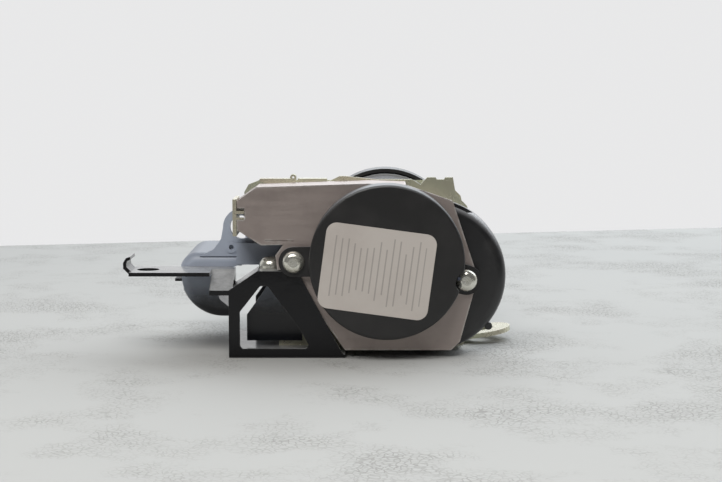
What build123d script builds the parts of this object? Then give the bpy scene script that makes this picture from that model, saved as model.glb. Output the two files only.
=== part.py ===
"""Front seat-belt retractor with a rack-driven pretensioner, in millimetres, +Z up.

The pieces are drawn about the spool: x is measured from the spool axis, y from the label's face
back along that axis, and z from the table. main() then moves them all by one shift, which puts
the origin under the middle of the whole retractor.
"""

import os
from math import acos, asin, atan2, cos, degrees, hypot, pi, radians, sin, sqrt, tan

from build123d import *

# Spool and webbing
SPOOL_Z = 41.4
SHAFT_R = 3.5
RUNNING_FIT = 0.05
RUNNING_GAP = 0.3
WEBBING_W = 47.0
WEBBING_T = 1.2
ROLL_R = 30.0
HUB_R = 12.0
FLANGE_R = 30.6
FLANGE_T = 1.2
SIDE_PLAY = 0.6
MOUTH_X, MOUTH_Z = -78.0, 29.5
WEBBING_END_X = -91.0
TAIL_LENGTH = 7.0

# Stack of plates along the spool axis
LABEL_T = 0.2
COVER_DEPTH = 12.8
HOUSING_T = 1.5
HOUSING_DEPTH = 21.0
CREASE = 0.4
FRAME_T = 2.0
FLANGE_PLAY = 0.2
FRAME_INSIDE = WEBBING_W + 2 * (SIDE_PLAY + FLANGE_T + FLANGE_PLAY)
MECHANISM_DEPTH = 20.0
CASE_GAP = 4.0

# Frame
FRAME_LEFT, FRAME_FOOT, FRAME_RIGHT = -56.0, -46.0, 36.0
FRAME_TOP = 72.0
FAR_TOP = 69.0
STRAP_T, LIP_W, TIE_Z = 1.5, 5.0, 66.0
STRAPS = ((-54.0, -38.4), (-37.8, -25.3))
CURL_R = 1.3
EAR_LENGTH, EAR_HALF_W = 20.8, 13.0
EAR_HOLE_R = 5.5
EAR_TILT = 8.0

# Bracket
BRACKET_T = 1.6
BRACKET_LEFT = -65.8
BASE_RIGHT, BASE_BACK = 24.0, 86.0
ARM_TIP_X = -107.6
ARM_TOP_Z = 35.7
ARM_W = 22.0
ARM_SET_BACK = 2.0
SLOPE_RUN, SLOPE_W = 15.0, 8.0
ARM_HOLE_X, ARM_HOLE_R = -100.7, 4.7
HOOK_W, HOOK_RISE = 14.0, 6.2
LEDGE_LEFT, LEDGE_RIGHT, LEDGE_Z = -53.8, -43.0, 36.6
VALLEY_Z = 28.5
NUT_X, NUT_R, NUT_H = -48.8, 4.9, 5.0

# Pretensioner
MODULE = 1.0
PRESSURE = radians(20)
TOOTH_SHARE = 0.46
ADDENDUM, DEDENDUM = 0.8, 1.05
PINION_TEETH, RING_TEETH, RIM_TEETH, RACK_TEETH = 13, 53, 55, 10
GEAR_LINE = radians(157.0)
RING_WALL = 2.0
RIM_WIDTH = 5.7
RACK_BAR_H = 3.2
PISTON_LENGTH = 12.0
PISTON_X = -44.0
TUBE_R, TUBE_BORE_R = 7.8, 6.1
TUBE_START_X, TUBE_END_X = -54.5, -7.5
GENERATOR_LENGTH = 8.0
NECK_R, CONTACT_R, CONTACT_X = 3.4, 1.9, -60.0
CASE_WALL, CASE_FLOOR = 2.0, 1.5
CASE_ROUND = 4.0
CASE_PEG, CASE_PEG_R = (43.2, 11.9), 1.6
END_PLATE_T = 1.6
END_PLATE_Z = (51.0, 66.4)

# Covers, label, rivets
COVER_R = 32.0
COVER_WALL, COVER_FLOOR = 2.6, 1.8
LABEL_X, LABEL_Z = -4.0, 38.0
LABEL_W, LABEL_H, LABEL_ROUND, LABEL_TILT = 45.5, 35.6, 4.4, -7.6
EAR_R, EAR_T = 6.2, 2.0
LEFT_RIVET = (-38.6, 40.7)
RIGHT_RIVET = (33.1, 33.0)
RIVET_R, RIVET_H, SHANK_R = 4.6, 2.9, 2.4
SPRING_TURNS, SPRING_T, SPRING_W = 7, 0.45, 8.0
ARBOR_R = 6.5
BUSH_R, SMALL_BUSH_R = 9.0, 6.0
MECHANISM_R, MECHANISM_WALL, MECHANISM_ROUND = 32.7, 1.6, 5.0
SCREW_CIRCLE_R, SCREW_ANGLES = 35.7, (-90.0, -30.0, 210.0)
LUG_R, LUG_T, SCREW_R, SCREW_HEAD_R = 4.2, 3.0, 1.5, 2.8

# Webbing guide
GUIDE_WALL = 1.6
GUIDE_LEFT, GUIDE_BOTTOM, BULB_RIGHT, LIP_X = -88.8, 13.6, -62.0, -65.6
HORN_TOP, CHEEK_TOP, CHEEK_BOTTOM = 41.5, 46.0, 4.0
GUIDE_SEAM = 0.1
HORN_WALL = 1.8
CHEEK_LEFT = -64.0
SLOT_GAP = 1.6
EYE_X, EYE_Z, EYE_R, EYE_HOLE_R = -61.9, 52.6, 8.0, 5.0
PEG_X, PEG_Z, PEG_R, PEG_HOLE_R = -66.4, 44.0, 2.6, 1.05

# Lock and sensor
RATCHET_TEETH = 15
RATCHET_R, RATCHET_ROOT_R, RATCHET_T = 16.0, 13.2, 3.0
PAWL_LENGTH, NOSE_H, NOSE_W = 13.0, 3.6, 1.6
PAWL_SWING = 12.0
PAWL_PIN_R = 1.5
NOSE_X, NOSE_DROP = 2.3, 16.6
DISC_TEETH, DISC_R, DISC_ROOT_R, DISC_T = 30, 17.0, 15.6, 1.8
CAM_PIN_R, CAM_PIN_AT = 1.0, 6.0
BALL_X, BALL_R = 24.3, 3.5
LEVER_X, LEVER_T, LEVER_PIVOT_H, LEVER_PIN_R = 19.8, 1.1, 8.2, 1.0

# Places that follow from the sizes above
COVER_BACK = LABEL_T + COVER_DEPTH
HOUSING_BACK = COVER_BACK + HOUSING_T
NEAR_PLATE = COVER_BACK + HOUSING_DEPTH
NEAR_INSIDE = NEAR_PLATE + FRAME_T
FAR_PLATE = NEAR_INSIDE + FRAME_INSIDE
FAR_BACK = FAR_PLATE + FRAME_T
MECHANISM_BACK = FAR_BACK + MECHANISM_DEPTH
MID_Y = (NEAR_INSIDE + FAR_PLATE) / 2
BRACKET_FRONT = COVER_BACK - BRACKET_T
GUIDE_FRONT = NEAR_PLATE - GUIDE_SEAM - GUIDE_WALL
GUIDE_BACK = FAR_BACK + GUIDE_SEAM + GUIDE_WALL
ARM_FRONT = BRACKET_FRONT + ARM_SET_BACK
HORN_FRONT = MID_Y - WEBBING_W / 2 - SIDE_PLAY - HORN_WALL
HORN_BACK = MID_Y + WEBBING_W / 2 + SIDE_PLAY + HORN_WALL

PITCH = pi * MODULE
PINION_R = MODULE * PINION_TEETH / 2
RING_R = MODULE * RING_TEETH / 2
RIM_R = MODULE * RIM_TEETH / 2
GEAR_OFFSET = RING_R - PINION_R
RING_X = -GEAR_OFFSET * cos(GEAR_LINE)
RING_Z = SPOOL_Z - GEAR_OFFSET * sin(GEAR_LINE)
RING_OUTER_R = RING_R + DEDENDUM + RING_WALL
CASE_FRONT = HOUSING_BACK + CASE_GAP
CASE_BORE_R = RING_OUTER_R + RUNNING_GAP
CASE_R = CASE_BORE_R + CASE_WALL
RING_FRONT = CASE_FRONT + CASE_FLOOR + RUNNING_GAP
RING_STEP = RING_FRONT + RIM_WIDTH
RING_BACK = NEAR_PLATE - RUNNING_GAP
RACK_LINE_Z = RING_Z + RIM_R
RACK_ROOT_Z = RACK_LINE_Z + DEDENDUM
RACK_END_X = RING_X + 0.9 * PITCH
TUBE_Y = (RING_FRONT + RING_STEP) / 2
TUBE_Z = RACK_LINE_Z + 0.7
END_PLATE_X = -62.4

RATCHET_FRONT = FAR_BACK + SIDE_PLAY
DISC_FRONT = RATCHET_FRONT + RATCHET_T + 1.0
SENSOR_Y = DISC_FRONT + DISC_T + 4.0
WEBBING_FRONT = MID_Y - WEBBING_W / 2
WEBBING_BACK = MID_Y + WEBBING_W / 2

# The webbing's run: from its mouth up to where it meets the roll
RUN_R = ROLL_R + RUNNING_GAP + WEBBING_T / 2
RUN_FAR = hypot(MOUTH_X, SPOOL_Z - MOUTH_Z)
RUN_SLOPE = atan2(SPOOL_Z - MOUTH_Z, -MOUTH_X) + asin(RUN_R / RUN_FAR)
RUN_LENGTH = sqrt(RUN_FAR**2 - RUN_R**2)


def across(y):
    """The plane at depth y whose sketch axes are +X and +Z."""
    return Plane(origin=(0, y, 0), x_dir=(1, 0, 0), z_dir=(0, -1, 0))


def slab(sketch, front, back):
    return extrude(across(back) * sketch, amount=back - front)


def sheet(sketch, low, high):
    """A level plate, from a sketch in x and y."""
    return extrude(Plane.XY.offset(low) * sketch, amount=high - low)


def shape(points, radius=0.0):
    face = make_face(Polyline(*points, close=True))
    return fillet(face.vertices(), radius) if radius else face


def rectangle(left, right, low, high):
    return Pos((left + right) / 2, (low + high) / 2) * Rectangle(right - left, high - low)


def disc(x, z, r):
    return Pos(x, z) * Circle(r)


def rod(x, z, r, front, back):
    return slab(disc(x, z, r), front, back)


def upright(x, y, r, low, high):
    return Pos(x, y, (low + high) / 2) * Cylinder(r, high - low)


def along_x(y, z, r, left, right):
    return Pos((left + right) / 2, y, z) * Rot(0, 90, 0) * Cylinder(r, right - left)


def group(pieces):
    return Compound([piece.solid() for piece in pieces])


def polar(x, z, r, angle):
    return x + r * cos(angle), z + r * sin(angle)


def ring_edges(part, r, end):
    """The round edges of radius r at one end of a piece: 0 is its front, -1 its back."""
    rounds = part.edges().filter_by(GeomType.CIRCLE).filter_by(lambda e: abs(e.radius - r) < 0.01)
    return rounds.group_by(Axis.Y)[end]


# Gear teeth
def involute(angle):
    return tan(angle) - angle


def gear_outline(x, z, teeth, root, tip, share, turn):
    """A spur gear's outline, with involute flanks; share is the tooth's part of the pitch."""
    pitch_r = MODULE * teeth / 2
    base = pitch_r * cos(PRESSURE)
    flank = [
        (r, share * pi / teeth + involute(PRESSURE) - involute(acos(min(1.0, base / r))))
        for r in (root, pitch_r, tip)
    ]
    points = []
    for k in range(teeth):
        middle = turn + 2 * pi * k / teeth
        points += [polar(x, z, r, middle - half) for r, half in flank]
        points += [polar(x, z, r, middle + half) for r, half in reversed(flank)]
    return shape(points)


def ratchet_outline(turn):
    """Saw teeth with the steep side facing the way the webbing pulls out; a gap lies at turn."""
    step = 2 * pi / RATCHET_TEETH
    points = []
    for k in range(RATCHET_TEETH):
        start = turn + step * (k - 0.95)
        points.append(polar(0, SPOOL_Z, RATCHET_ROOT_R, start))
        points.append(polar(0, SPOOL_Z, RATCHET_R, start + 0.5 * step))
        points.append(polar(0, SPOOL_Z, RATCHET_R, start + 0.62 * step))
        points.append(polar(0, SPOOL_Z, RATCHET_ROOT_R, start + 0.64 * step))
    return shape(points)


def disc_outline():
    """The control disc's fine teeth, with a gap facing the sensor lever."""
    step = 2 * pi / DISC_TEETH
    points = []
    for k in range(DISC_TEETH):
        start = step * (k + 0.25)
        points.append(polar(0, SPOOL_Z, DISC_ROOT_R, start))
        points.append(polar(0, SPOOL_Z, DISC_R, start + 0.2 * step))
        points.append(polar(0, SPOOL_Z, DISC_R, start + 0.3 * step))
        points.append(polar(0, SPOOL_Z, DISC_ROOT_R, start + 0.5 * step))
    return shape(points)


# Frame
def side_plate(front, top):
    left = [(FRAME_FOOT, BRACKET_T), (FRAME_FOOT, 30), (FRAME_LEFT, 40)]
    right = [(34.5, 61.9), (FRAME_RIGHT, 56), (FRAME_RIGHT, 8), (33, BRACKET_T)]
    plate = slab(shape([*left, *top, *right]), front, front + FRAME_T)
    return plate - rod(0, SPOOL_Z, BUSH_R, front, front + FRAME_T)


def retractor_frame():
    """Two side plates bent up from one web, which runs out into the bolted ear."""
    shoulder = [(FRAME_LEFT, 66), (-52, FRAME_TOP), (-25.3, FRAME_TOP)]
    lobe = [(FRAME_LEFT, 54), (-64.3, 60), (-64.5, 63.5), (-62.5, 67), (-57.5, FAR_TOP)]
    crest = [(-19.8, 74.6), (-17.6, 74.6), (-4.8, 73.2), (11, 73.2), (14.5, 70.9), (17.5, 74.1)]
    tabs = [(21, 74.1), (21.6, 73.2), (24.6, 73.2), (25.2, 74.1), (28.4, 74.1), (29.7, 66.7)]
    near = side_plate(NEAR_PLATE, [*shoulder, *crest, *tabs])
    far = side_plate(FAR_PLATE, [*lobe, (20, FAR_TOP), (29.7, 66.7)])
    screws = [polar(0, SPOOL_Z, SCREW_CIRCLE_R, radians(a)) for a in SCREW_ANGLES]
    for x, z in screws:
        far -= rod(x, z, SCREW_R, FAR_PLATE, FAR_BACK)
    far -= rod(*pawl_pivot(), PAWL_PIN_R, FAR_PLATE, FAR_BACK)
    web = sheet(rectangle(FRAME_FOOT, 33, NEAR_PLATE, FAR_BACK), BRACKET_T, BRACKET_T + FRAME_T)
    for x, y in bracket_rivet_places():
        web -= upright(x, y, SHANK_R, BRACKET_T, BRACKET_T + FRAME_T)
    tip = EAR_LENGTH - EAR_HALF_W
    ear_plan = Pos(tip / 2 - 2, 0) * Rectangle(tip + 4, 2 * EAR_HALF_W) + Pos(tip, 0) * Circle(EAR_HALF_W)
    ear = extrude(ear_plan - Pos(tip, 0) * Circle(EAR_HOLE_R), amount=FRAME_T)
    ear = Pos(FRAME_RIGHT - 1, MID_Y, BRACKET_T) * Rot(0, -EAR_TILT, 0) * ear
    return near + far + web + ear


def frame_straps():
    """Two ties between the side plates, and above each a lip on the near plate; one lip is curled."""
    ties = [slab(rectangle(a, b, TIE_Z, TIE_Z + STRAP_T), NEAR_INSIDE, FAR_PLATE) for a, b in STRAPS]
    lip_top, lip_back = FRAME_TOP + STRAP_T, NEAR_PLATE + LIP_W
    lips = [slab(rectangle(a, b, FRAME_TOP, lip_top), NEAR_PLATE, lip_back) for a, b in STRAPS]
    curl_x = STRAPS[0][1] - CURL_R
    curl = disc(curl_x, lip_top + 0.5, CURL_R) - disc(curl_x, lip_top + 0.5, 0.5)
    lips[0] += slab(curl, NEAR_PLATE, lip_back)
    return group([*ties, *lips])


def shaft_bushes():
    """Plain bearings in the two side plates and in the housing."""
    bore = SHAFT_R + RUNNING_FIT
    near = rod(0, SPOOL_Z, BUSH_R, NEAR_PLATE, NEAR_INSIDE + 0.3)
    far = rod(0, SPOOL_Z, BUSH_R, FAR_PLATE - 0.3, FAR_BACK)
    small = rod(0, SPOOL_Z, SMALL_BUSH_R, COVER_BACK, HOUSING_BACK + 1.5)
    shaft = rod(0, SPOOL_Z, bore, 0, MECHANISM_BACK)
    return group([near - shaft, far - shaft, small - shaft])


# Housing and pretensioner
def housing_outline():
    box = [(-62.2, 53.6), (-62.2, 65.6), (-53.9, 71.5), (-8, 73), (8, 72.5), (27.4, 65.8)]
    right = [(36.8, 37.5), (36.3, 27.4), (30.7, 6.8), (27, 3.2), (-17.3, 3.2), (-34.8, 28.2)]
    ledge_x, ledge_z = LEDGE_RIGHT + 0.2, LEDGE_Z + 0.4
    rivet_lug = [(ledge_x, 34.5), (ledge_x, ledge_z), (-45.5, ledge_z), (-46.3, 43), (-43, 47.5), (-52.3, 47.3)]
    return shape([*box, *right, *rivet_lug])


def housing_plate():
    """A pressed plate, flanged back to the side plate along its top and under its box."""
    outline = housing_outline()
    rim = outline - offset(outline, -HOUSING_T)
    top = rim & rectangle(-63, 8, 64.5, 74)
    under = rim & rectangle(-63, -44, 46, 55)
    plate = slab(outline, COVER_BACK, HOUSING_BACK)
    plate += slab(top, COVER_BACK, NEAR_PLATE) + slab(under, COVER_BACK, NEAR_PLATE)
    plate -= slab(rectangle(-63, -59, 57.9, 62.7), COVER_BACK, HOUSING_BACK)
    plate -= slab(rectangle(-50.5, -38.5, 49.0, 49.4), COVER_BACK, COVER_BACK + CREASE)
    for x, z in (LEFT_RIVET, RIGHT_RIVET):
        plate -= rod(x, z, SHANK_R, COVER_BACK, HOUSING_BACK)
    return plate - rod(0, SPOOL_Z, SMALL_BUSH_R, COVER_BACK, HOUSING_BACK)


def generator_end_plate():
    """The plate that closes the box; its tabs show in the housing's slot."""
    low, high = END_PLATE_Z
    plate = slab(
        rectangle(END_PLATE_X - END_PLATE_T, END_PLATE_X, low, high), COVER_BACK + 0.2, NEAR_PLATE - 3
    )
    for tab_low, tab_high in ((58.0, 58.8), (60.3, 61.6)):
        plate += slab(
            rectangle(END_PLATE_X, -59.2, tab_low, tab_high), COVER_BACK + 0.2, HOUSING_BACK - 0.2
        )
    return plate


def pretensioner_tube():
    tube = along_x(TUBE_Y, TUBE_Z, TUBE_R, TUBE_START_X, TUBE_END_X)
    tube = chamfer(tube.edges().group_by(Axis.X)[-1], 0.6)
    return tube - along_x(TUBE_Y, TUBE_Z, TUBE_BORE_R, TUBE_START_X, TUBE_END_X)


def gas_generator():
    """The charge capsule in the tube's end, with its neck and contact on the end plate."""
    right = TUBE_START_X + GENERATOR_LENGTH
    can = along_x(TUBE_Y, TUBE_Z, TUBE_BORE_R, TUBE_START_X, right)
    can = chamfer(can.edges().group_by(Axis.X)[-1], 1.2)
    can += along_x(TUBE_Y, TUBE_Z, NECK_R, CONTACT_X, TUBE_START_X)
    return can + along_x(TUBE_Y, TUBE_Z, CONTACT_R, END_PLATE_X, CONTACT_X)


def rack_piston():
    """A piston that pushes a toothed bar; the bar's teeth point down to the ring gear."""
    piston = along_x(TUBE_Y, TUBE_Z, TUBE_BORE_R - RUNNING_GAP, PISTON_X, PISTON_X + PISTON_LENGTH)
    piston = chamfer(piston.edges().group_by(Axis.X)[0], 0.8)
    seal = along_x(TUBE_Y, TUBE_Z, TUBE_R, PISTON_X + 3, PISTON_X + 4.5)
    piston -= seal - along_x(TUBE_Y, TUBE_Z, TUBE_BORE_R - 1.3, PISTON_X + 3, PISTON_X + 4.5)
    front, back = RING_FRONT + 0.1, RING_STEP - 0.2
    bar = rectangle(PISTON_X + PISTON_LENGTH - 1, RACK_END_X, RACK_ROOT_Z, RACK_ROOT_Z + RACK_BAR_H)
    tip_half = TOOTH_SHARE * PITCH / 2 - ADDENDUM * tan(PRESSURE)
    root_half = TOOTH_SHARE * PITCH / 2 + DEDENDUM * tan(PRESSURE)
    for k in range(RACK_TEETH):
        x = RING_X + (0.5 - k) * PITCH
        tip_z = RACK_LINE_Z - ADDENDUM
        left = [(x - root_half, RACK_ROOT_Z), (x - tip_half, tip_z)]
        bar += shape([*left, (x + tip_half, tip_z), (x + root_half, RACK_ROOT_Z)])
    return piston + slab(bar, front, back)


def ring_gear():
    """A stepped ring: teeth outside its front half for the rack, inside its back half for the pinion."""
    rim = gear_outline(RING_X, RING_Z, RIM_TEETH, RIM_R - DEDENDUM, RIM_R + ADDENDUM, TOOTH_SHARE, pi / 2)
    bore = disc(RING_X, RING_Z, RING_R - ADDENDUM - 1.1)
    spaces = gear_outline(
        RING_X, RING_Z, RING_TEETH, RING_R - ADDENDUM, RING_R + DEDENDUM, 1 - TOOTH_SHARE, GEAR_LINE
    )
    front = slab(rim - bore, RING_FRONT, RING_STEP)
    return front + slab(disc(RING_X, RING_Z, RING_OUTER_R) - spaces, RING_STEP, RING_BACK)


def drive_pinion():
    teeth = gear_outline(
        0, SPOOL_Z, PINION_TEETH, PINION_R - DEDENDUM, PINION_R + ADDENDUM, TOOTH_SHARE, GEAR_LINE
    )
    return slab(teeth - disc(0, SPOOL_Z, SHAFT_R + RUNNING_FIT), RING_STEP + 0.4, RING_BACK)


def gear_case():
    """The round moulded case that the ring gear turns in, open at the back and over the rack."""
    case = rod(RING_X, RING_Z, CASE_R, CASE_FRONT, NEAR_PLATE)
    case = fillet(ring_edges(case, CASE_R, 0), CASE_ROUND)
    case -= rod(RING_X, RING_Z, CASE_BORE_R, CASE_FRONT + CASE_FLOOR, NEAR_PLATE)
    case -= rod(0, SPOOL_Z, SHAFT_R + 1.5, CASE_FRONT, NEAR_PLATE)
    over_rack = rectangle(TUBE_END_X, RING_X + CASE_R, RACK_LINE_Z - ADDENDUM - 0.5, RING_Z + CASE_R)
    case -= slab(over_rack, RING_FRONT - 0.5, RING_STEP + 0.4)
    return case + rod(*CASE_PEG, CASE_PEG_R, CASE_FRONT + CASE_ROUND, CASE_FRONT + 2 * CASE_ROUND)


# Spring side
def cover_ear(rivet, back):
    x, z = rivet
    reach = hypot(x, z - SPOOL_Z)
    turn = degrees(atan2(z - SPOOL_Z, x))
    neck = Pos(0, SPOOL_Z) * Rot(0, 0, turn) * Pos(reach / 2 + 8, 0) * Rectangle(reach - 16, 2 * EAR_R)
    ear = (neck + disc(x, z, EAR_R)) - disc(0, SPOOL_Z, COVER_R - COVER_WALL)
    return slab(ear, back - EAR_T, back)


def spring_cover():
    """The black cup over the mainspring, with an ear under each rivet."""
    cover = rod(0, SPOOL_Z, COVER_R, LABEL_T, COVER_BACK)
    cover = fillet(ring_edges(cover, COVER_R, 0), 1.2)
    cover -= rod(0, SPOOL_Z, COVER_R - COVER_WALL, LABEL_T + COVER_FLOOR, COVER_BACK)
    right_face = COVER_BACK - EAR_T
    cover -= rod(*RIGHT_RIVET, RIVET_R + 0.3, LABEL_T, right_face)
    cover -= rod(*LEFT_RIVET, RIVET_R + 0.3, LABEL_T, BRACKET_FRONT - EAR_T)
    cover += cover_ear(LEFT_RIVET, BRACKET_FRONT) + cover_ear(RIGHT_RIVET, COVER_BACK)
    cover -= rod(*LEFT_RIVET, SHANK_R, BRACKET_FRONT - EAR_T, COVER_BACK)
    return cover - rod(*RIGHT_RIVET, SHANK_R, right_face, COVER_BACK)


def cover_label():
    plan = Pos(LABEL_X, LABEL_Z) * Rot(0, 0, LABEL_TILT) * RectangleRounded(LABEL_W, LABEL_H, LABEL_ROUND)
    return slab(plan, 0, LABEL_T)


def dome_rivet(place, seat):
    head = rod(*place, RIVET_R, seat - RIVET_H, seat)
    head = fillet(ring_edges(head, RIVET_R, 0), RIVET_H - 0.3)
    return head + rod(*place, SHANK_R, seat, HOUSING_BACK) + rod(*place, SHANK_R + 1, HOUSING_BACK, HOUSING_BACK + 1)


def cover_rivets():
    left = dome_rivet(LEFT_RIVET, BRACKET_FRONT - EAR_T)
    right = dome_rivet(RIGHT_RIVET, COVER_BACK - EAR_T)
    return group([left, right])


def mainspring():
    """The flat spiral that winds the webbing in."""
    inner = ARBOR_R + 0.6
    outer = COVER_R - COVER_WALL - SPRING_T - RUNNING_GAP
    steps = SPRING_TURNS * 8

    def spiral(shift):
        return [
            polar(0, SPOOL_Z, inner + (outer - inner) * k / steps + shift, k * pi / 4)
            for k in range(steps + 1)
        ]

    near, far = spiral(0), spiral(SPRING_T)
    edges = [Spline(*near), Line(near[-1], far[-1]), Spline(*far), Line(far[0], near[0])]
    front = LABEL_T + COVER_FLOOR + 0.5
    return slab(make_face(edges), front, front + SPRING_W)


def spring_arbor():
    front = LABEL_T + COVER_FLOOR + 0.3
    back = COVER_BACK - 0.3
    arbor = rod(0, SPOOL_Z, ARBOR_R, front, back)
    return arbor - rod(0, SPOOL_Z, SHAFT_R, front + 2, back)


# Spool
def torsion_bar():
    """The steel bar through the spool, with a six-sided head inside the lock's end."""
    bar = rod(0, SPOOL_Z, SHAFT_R, LABEL_T + COVER_FLOOR + 2.3, DISC_FRONT + DISC_T + 1.2)
    return chamfer(ring_edges(bar, SHAFT_R, 0) + ring_edges(bar, SHAFT_R, -1), 0.5)


def spool():
    """The die-cast drum: two flanges on a ribbed hub, with the webbing's slot across it."""
    front, back = NEAR_INSIDE + SIDE_PLAY, FAR_PLATE - SIDE_PLAY
    drum = rod(0, SPOOL_Z, HUB_R, front, back)
    for start in (front, back - FLANGE_T):
        flange = disc(0, SPOOL_Z, FLANGE_R)
        for k in range(6):
            flange -= disc(*polar(0, SPOOL_Z, 21, k * pi / 3), 4)
        drum += slab(flange, start, start + FLANGE_T)
    slot = Pos(0, SPOOL_Z) * Rot(0, 0, 35) * Pos(0, 7.2) * Rectangle(2 * HUB_R, 2.4)
    drum -= slab(slot & disc(0, SPOOL_Z, HUB_R + 1), WEBBING_FRONT, WEBBING_BACK)
    return drum - rod(0, SPOOL_Z, SHAFT_R, front, back)


def webbing_roll():
    turn = disc(0, SPOOL_Z, ROLL_R) - disc(0, SPOOL_Z, HUB_R)
    return slab(turn, WEBBING_FRONT, WEBBING_BACK)


def run_band(thick, start_x):
    """The webbing's path in x and z: level to its mouth, then up to the roll."""
    end = (MOUTH_X + RUN_LENGTH * cos(RUN_SLOPE), MOUTH_Z + RUN_LENGTH * sin(RUN_SLOPE))
    half, lean = thick / 2, thick / 2 * tan(RUN_SLOPE / 2)
    side = (half * sin(RUN_SLOPE), half * cos(RUN_SLOPE))
    upper = [(start_x, MOUTH_Z + half), (MOUTH_X - lean, MOUTH_Z + half), (end[0] - side[0], end[1] + side[1])]
    lower = [(end[0] + side[0], end[1] - side[1]), (MOUTH_X + lean, MOUTH_Z - half), (start_x, MOUTH_Z - half)]
    return shape([*upper, *lower])


def webbing_run():
    return slab(run_band(WEBBING_T, WEBBING_END_X + TAIL_LENGTH), WEBBING_FRONT, WEBBING_BACK)


def webbing_tail():
    """The webbing's free end, at the mouth of the guide."""
    low, high = MOUTH_Z - WEBBING_T / 2, MOUTH_Z + WEBBING_T / 2
    end = rectangle(WEBBING_END_X, WEBBING_END_X + TAIL_LENGTH, low, high)
    return slab(end, WEBBING_FRONT, WEBBING_BACK)


# Bracket
def arm_profile():
    """The sheet from the arm down its riser, up the slope and along the ledge, in x and z."""
    t = BRACKET_T
    lean = t * (hypot(LEDGE_Z - VALLEY_Z, LEDGE_LEFT - BRACKET_LEFT) / (LEDGE_LEFT - BRACKET_LEFT))
    top = [(BRACKET_LEFT, VALLEY_Z), (LEDGE_LEFT, LEDGE_Z), (LEDGE_RIGHT, LEDGE_Z)]
    under = [(LEDGE_RIGHT, LEDGE_Z - t), (LEDGE_LEFT + t / 2, LEDGE_Z - t), (BRACKET_LEFT, VALLEY_Z - lean)]
    return shape([*top, *under])


def mounting_bracket():
    """One pressed sheet: base, windowed front plate, sloping flange, ledge and the long arm."""
    t = BRACKET_T
    front = shape(
        [(BRACKET_LEFT, 0), (BRACKET_LEFT, VALLEY_Z), (LEDGE_LEFT, LEDGE_Z), (-37, LEDGE_Z), (-17.3, 0)]
    )
    front += disc(*LEFT_RIVET, EAR_R)
    window = fillet(
        shape([(-61.2, 4), (-61.2, 19.4), (-52.6, 30.4), (-49.4, 30.4), (-36, 11.9), (-31.5, 4)]).vertices(), 1.5
    )
    sheet_metal = slab(front - window, BRACKET_FRONT, COVER_BACK)
    base = shape(
        [
            (BRACKET_LEFT, BRACKET_FRONT),
            (-17.3, BRACKET_FRONT),
            (-17.3, NEAR_PLATE),
            (BASE_RIGHT, NEAR_PLATE),
            (BASE_RIGHT, BASE_BACK),
            (-50, BASE_BACK),
            (BRACKET_LEFT, BASE_BACK - 12),
        ]
    )
    sheet_metal += sheet(base, 0, t)
    bend = [e for e in sheet_metal.edges().filter_by(Axis.X) if e.center().Z < 0.1 and e.center().Y < COVER_BACK]
    sheet_metal = fillet(bend, 1.5)
    sheet_metal += slab(arm_profile(), BRACKET_FRONT, GUIDE_FRONT - GUIDE_SEAM)
    slope_back = BRACKET_FRONT + SLOPE_RUN
    riser = rectangle(BRACKET_LEFT, BRACKET_LEFT + t, VALLEY_Z - t, ARM_TOP_Z)
    sheet_metal += slab(riser, slope_back, GUIDE_FRONT - GUIDE_SEAM)
    left, right = BRACKET_LEFT - SLOPE_W, BRACKET_LEFT + t
    arm = rectangle(ARM_TIP_X, right, ARM_FRONT, ARM_FRONT + ARM_W)
    arm -= rectangle(BRACKET_LEFT, right, GUIDE_FRONT - GUIDE_SEAM, ARM_FRONT + ARM_W)
    arm -= rectangle(left, right, ARM_FRONT, slope_back)
    arm -= disc(ARM_HOLE_X, ARM_FRONT + ARM_W / 2, ARM_HOLE_R)
    sheet_metal += sheet(arm, ARM_TOP_Z - t, ARM_TOP_Z)
    slope = Polyline(
        (BRACKET_FRONT, VALLEY_Z),
        (slope_back, ARM_TOP_Z),
        (slope_back + t, ARM_TOP_Z),
        (slope_back + t, ARM_TOP_Z - t),
        (BRACKET_FRONT, VALLEY_Z - 1.3 * t),
        close=True,
    )
    sheet_metal += extrude(Plane.YZ.offset(left) * make_face(slope), amount=right - left)
    hook = [
        (ARM_TIP_X, ARM_TOP_Z - t),
        (ARM_TIP_X - 2.8, ARM_TOP_Z + 1.2),
        (ARM_TIP_X - 2.8, ARM_TOP_Z + HOOK_RISE - 2.6),
        (ARM_TIP_X - 1.6, ARM_TOP_Z + HOOK_RISE - 0.6),
        (ARM_TIP_X + 0.2, ARM_TOP_Z + HOOK_RISE),
        (ARM_TIP_X + 0.4, ARM_TOP_Z + HOOK_RISE - 1.2),
        (ARM_TIP_X - 1.0, ARM_TOP_Z + HOOK_RISE - 1.8),
        (ARM_TIP_X - 1.4, ARM_TOP_Z + HOOK_RISE - 3.0),
        (ARM_TIP_X - 1.3, ARM_TOP_Z + 1.8),
        (ARM_TIP_X + 0.6, ARM_TOP_Z),
    ]
    middle = ARM_FRONT + ARM_W / 2
    sheet_metal += slab(shape(hook), middle - HOOK_W / 2, middle + HOOK_W / 2)
    for x, y in bracket_rivet_places():
        sheet_metal -= upright(x, y, SHANK_R, 0, t)
    return sheet_metal - rod(*LEFT_RIVET, SHANK_R, BRACKET_FRONT, COVER_BACK)


def bracket_nut():
    """The domed nut on the bracket's ledge."""
    nut = upright(NUT_X, BRACKET_FRONT + 10.5, NUT_R, LEDGE_Z, LEDGE_Z + NUT_H)
    return fillet(nut.edges().group_by(Axis.Z)[-1], NUT_R - 1.2)


def bracket_rivet_places():
    return [(-36, MID_Y - 16), (-36, MID_Y + 16), (16, MID_Y - 16), (16, MID_Y + 16)]


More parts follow.
